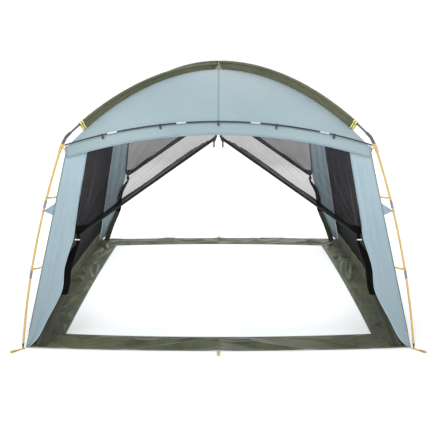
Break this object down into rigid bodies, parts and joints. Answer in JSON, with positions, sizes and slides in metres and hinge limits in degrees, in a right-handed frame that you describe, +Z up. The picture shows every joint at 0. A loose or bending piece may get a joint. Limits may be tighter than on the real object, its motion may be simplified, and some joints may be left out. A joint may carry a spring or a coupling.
{
  "type": "screen house",
  "caption": "Square dome screen house with crossing poles, brow poles, blue-grey canopy, mesh side walls, tied-back mesh doors at front and rear, and an olive ground skirt.",
  "frame": {"origin": "on the ground at the centre of the square", "axes": "+X along the front towards its right end, the front door faces -Y, +Z up"},
  "size_m": [3.25, 3.334, 2.2093],
  "materials": {
    "gold_pole": "satin",
    "gold_hub": "satin",
    "dark_pole": "satin",
    "black_pole": "satin",
    "grey_ferrule": "satin",
    "silver_ferrule": "satin",
    "black_plastic": "matte",
    "white_plastic": "satin",
    "blue_canopy": "satin",
    "olive_cloth": "matte",
    "yellow_binding": "matte",
    "black_mesh": "matte",
    "gold_webbing": "matte",
    "black_webbing": "matte",
    "white_cord": "matte",
    "black_zip_metal": "satin"
  },
  "bodies": {
    "shelter": {"brow_clips": "black_plastic", "brow_ferrules": "silver_ferrule", "brow_flap_front": "blue_canopy", "brow_flap_rear": "blue_canopy", "brow_pole_front": "black_pole", "brow_pole_rear": "black_pole", "corner_panel_front_left": "blue_canopy", "corner_panel_front_right": "blue_canopy", "corner_panel_rear_left": "blue_canopy", "corner_panel_rear_right": "blue_canopy", "crown_patch": "blue_canopy", "door_curtain_front_left": "black_mesh", "door_curtain_front_right": "black_mesh", "door_curtain_rear_left": "black_mesh", "door_curtain_rear_right": "black_mesh", "hub_front_left": "gold_hub", "hub_front_right": "gold_hub", "hub_rear_left": "gold_hub", "hub_rear_right": "gold_hub", "hub_straps": "black_webbing", "leg_front_left": "gold_pole", "leg_front_right": "gold_pole", "leg_rear_left": "gold_pole", "leg_rear_right": "gold_pole", "leg_tabs": "blue_canopy", "leg_ties": "gold_webbing", "pole_ferrules": "grey_ferrule", "pole_sleeves_one": "olive_cloth", "pole_sleeves_two": "olive_cloth", "pole_tips": "black_plastic", "roof_front": "blue_canopy", "roof_left": "blue_canopy", "roof_pole_one": "dark_pole", "roof_pole_two": "dark_pole", "roof_rear": "blue_canopy", "roof_right": "blue_canopy", "side_wall_left": "black_mesh", "side_wall_right": "black_mesh", "skirt_front": "olive_cloth", "skirt_left": "olive_cloth", "skirt_rear": "olive_cloth", "skirt_right": "olive_cloth", "sleeve_bindings": "yellow_binding", "stake_loops": "gold_webbing", "tie_backs": "white_cord", "wall_band_left": "olive_cloth", "wall_band_right": "olive_cloth", "zip_tapes": "black_webbing"},
    "slider_front_left": {"zip_slider_front_left": "black_zip_metal"},
    "pull_front_left": {"zip_pull_front_left": "black_zip_metal"},
    "toggle_body_front_left": {"toggle_front_left": "white_plastic"},
    "slider_front_right": {"zip_slider_front_right": "black_zip_metal"},
    "pull_front_right": {"zip_pull_front_right": "black_zip_metal"},
    "toggle_body_front_right": {"toggle_front_right": "white_plastic"},
    "slider_rear_left": {"zip_slider_rear_left": "black_zip_metal"},
    "pull_rear_left": {"zip_pull_rear_left": "black_zip_metal"},
    "toggle_body_rear_left": {"toggle_rear_left": "white_plastic"},
    "slider_rear_right": {"zip_slider_rear_right": "black_zip_metal"},
    "pull_rear_right": {"zip_pull_rear_right": "black_zip_metal"},
    "toggle_body_rear_right": {"toggle_rear_right": "white_plastic"}
  },
  "joints": [
    {"name": "slider_slide_front_left", "type": "slide", "parent": "shelter", "child": "slider_front_left", "axis": [-0.8189, -0.0973, -0.5656], "range_m": [0, 1.138]},
    {"name": "pull_swing_front_left", "type": "hinge", "parent": "slider_front_left", "child": "pull_front_left", "pos_m": [-0.0342, -1.21673, 1.60105], "axis": [-1, 0, 0], "range_deg": [-12, 85]},
    {"name": "toggle_swivel_front_left", "type": "hinge", "parent": "shelter", "child": "toggle_body_front_left", "pos_m": [-1.108, -1.34924, 0.84], "axis": [0, -1, 0], "range_deg": [-80, 80]},
    {"name": "slider_slide_front_right", "type": "slide", "parent": "shelter", "child": "slider_front_right", "axis": [0.8189, -0.0973, -0.5656], "range_m": [0, 1.138]},
    {"name": "pull_swing_front_right", "type": "hinge", "parent": "slider_front_right", "child": "pull_front_right", "pos_m": [0.0342, -1.21673, 1.60105], "axis": [-1, 0, 0], "range_deg": [-12, 85]},
    {"name": "toggle_swivel_front_right", "type": "hinge", "parent": "shelter", "child": "toggle_body_front_right", "pos_m": [1.108, -1.34924, 0.84], "axis": [0, -1, 0], "range_deg": [-80, 80]},
    {"name": "slider_slide_rear_left", "type": "slide", "parent": "shelter", "child": "slider_rear_left", "axis": [-0.8189, 0.0973, -0.5656], "range_m": [0, 1.138]},
    {"name": "pull_swing_rear_left", "type": "hinge", "parent": "slider_rear_left", "child": "pull_rear_left", "pos_m": [-0.0342, 1.21673, 1.60105], "axis": [1, 0, 0], "range_deg": [-12, 85]},
    {"name": "toggle_swivel_rear_left", "type": "hinge", "parent": "shelter", "child": "toggle_body_rear_left", "pos_m": [-1.108, 1.34924, 0.84], "axis": [0, 1, 0], "range_deg": [-80, 80]},
    {"name": "slider_slide_rear_right", "type": "slide", "parent": "shelter", "child": "slider_rear_right", "axis": [0.8189, 0.0973, -0.5656], "range_m": [0, 1.138]},
    {"name": "pull_swing_rear_right", "type": "hinge", "parent": "slider_rear_right", "child": "pull_rear_right", "pos_m": [0.0342, 1.21673, 1.60105], "axis": [1, 0, 0], "range_deg": [-12, 85]},
    {"name": "toggle_swivel_rear_right", "type": "hinge", "parent": "shelter", "child": "toggle_body_rear_right", "pos_m": [1.108, 1.34924, 0.84], "axis": [0, 1, 0], "range_deg": [-80, 80]}
  ]
}
